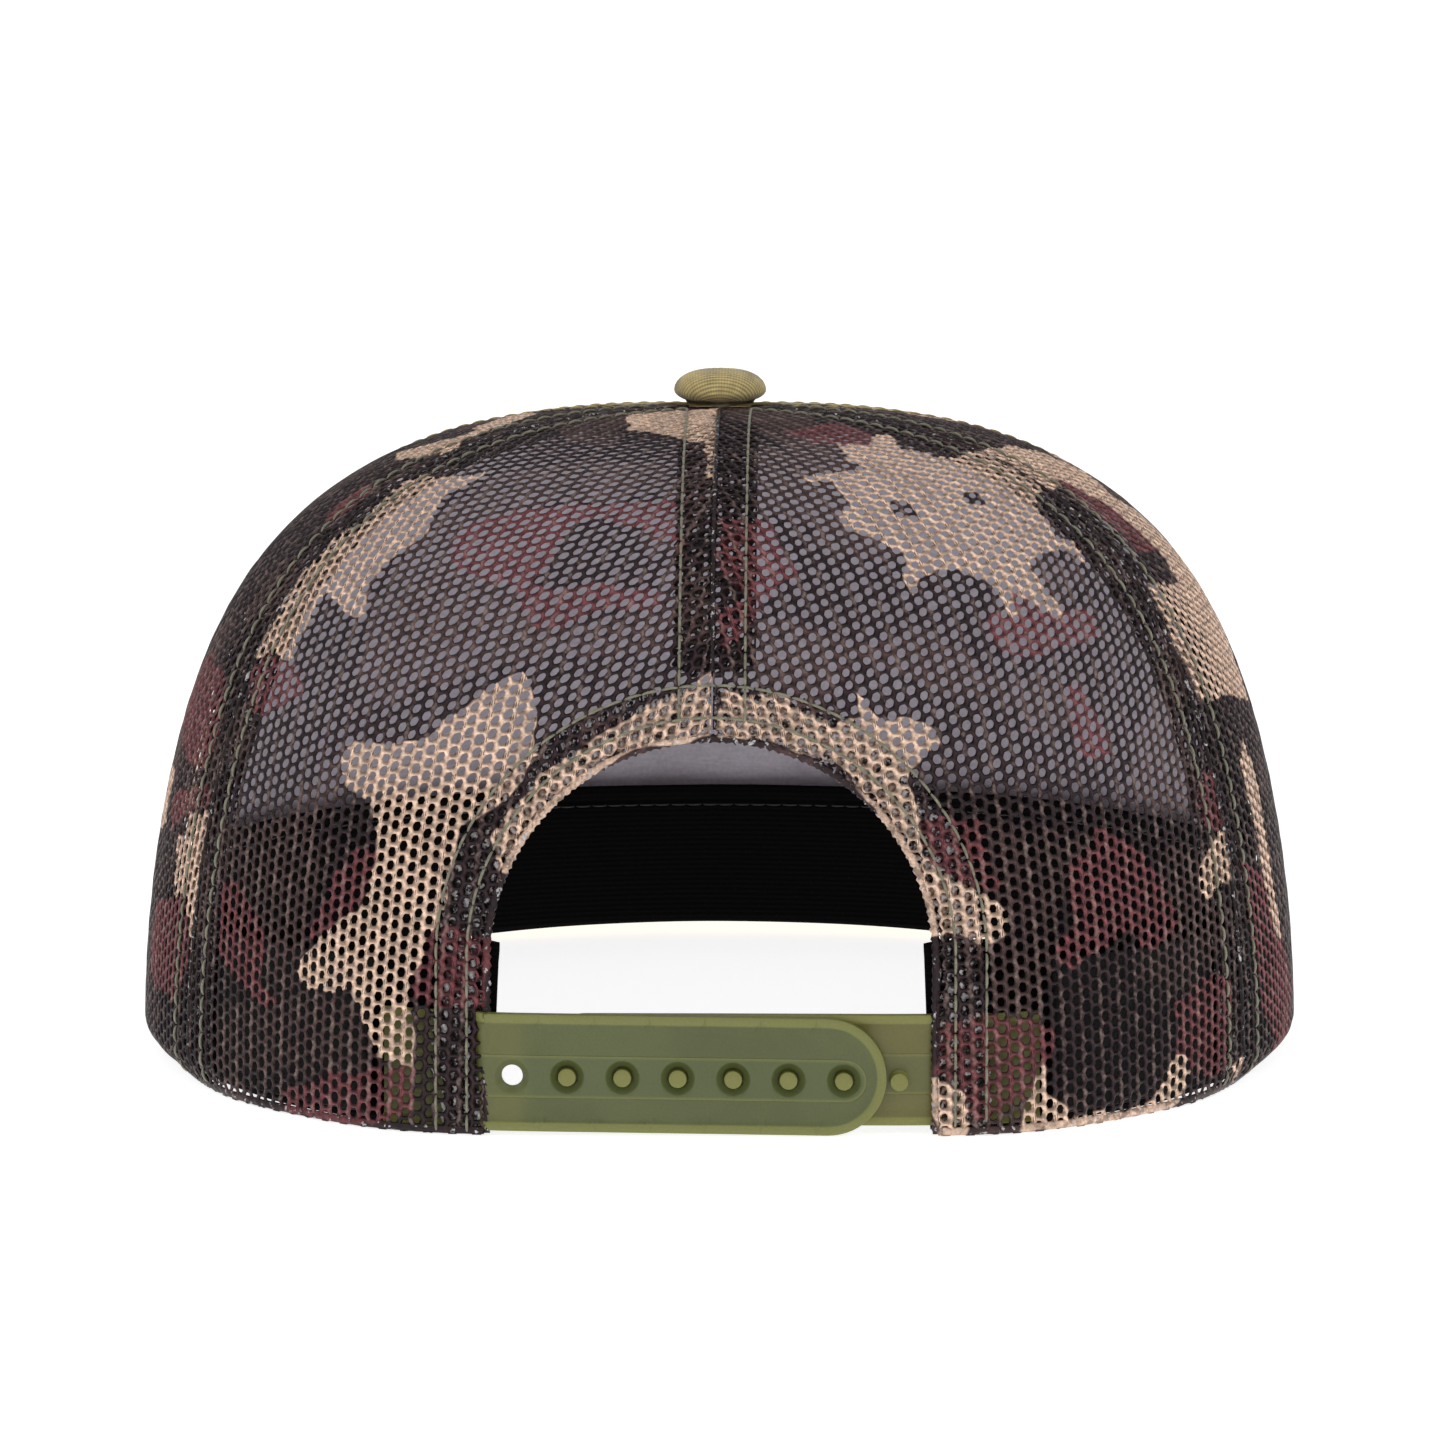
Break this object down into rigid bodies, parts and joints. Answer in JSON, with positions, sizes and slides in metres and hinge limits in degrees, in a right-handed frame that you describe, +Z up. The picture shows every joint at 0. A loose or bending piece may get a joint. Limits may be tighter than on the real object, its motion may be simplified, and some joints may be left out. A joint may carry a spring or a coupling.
{
  "type": "trucker mesh cap",
  "caption": "Trucker cap with a printed mesh back and sides, solid front, flat visor, sweatband and an adjustable plastic snap strap under an arched back opening.",
  "frame": {"origin": "centre of the head opening, on the plane that the base ring stands on", "axes": "+Y towards the visor, +Z up through the top button, +X to the wearer's right"},
  "size_m": [0.197, 0.2585, 0.1142],
  "materials": {
    "camo_mesh": "open polyester mesh printed in charcoal, burgundy, brown and tan",
    "seam_mesh": "doubled printed mesh with olive thread",
    "front_fabric": "ribbed olive-tan twill",
    "lining": "matt grey backing",
    "band": "matt black woven",
    "padding": "matt felt",
    "strap": "translucent olive green, satin",
    "board": "moulded stiffener",
    "metal": "plain stamped metal"
  },
  "bodies": {
    "crown": {"back_panel_left": "camo_mesh", "back_panel_right": "camo_mesh", "side_panel_left": "camo_mesh", "side_panel_right": "camo_mesh", "back_seam": "seam_mesh", "side_seam_left": "seam_mesh", "side_seam_right": "seam_mesh", "front_seam_left": "seam_mesh", "front_seam_right": "seam_mesh", "arch_hem_left": "seam_mesh", "arch_hem_right": "seam_mesh", "front_panel": "front_fabric", "front_panel_lining": "lining", "sweatband": "band", "sweatband_padding": "padding", "hole_strap_tab": "strap", "peg_strap_tab": "strap", "visor_board": "board", "visor_top_cover": "front_fabric", "visor_under_cover": "front_fabric", "button_cover": "front_fabric", "button_shell": "metal", "button_post": "metal", "button_washer": "metal"},
    "hole_strap": {"hole_strap": "strap"},
    "peg_strap": {"peg_strap": "strap"}
  },
  "joints": [
    {"name": "hole_strap_bend", "type": "hinge", "parent": "crown", "child": "hole_strap", "pos_m": [-0.03415, -0.09325, 0.0096], "axis": [0, 0, -1], "range_deg": [0, 110]},
    {"name": "peg_strap_bend", "type": "hinge", "parent": "crown", "child": "peg_strap", "pos_m": [0.03404, -0.09145, 0.0096], "axis": [0, 0, -1], "range_deg": [0, 40]}
  ]
}
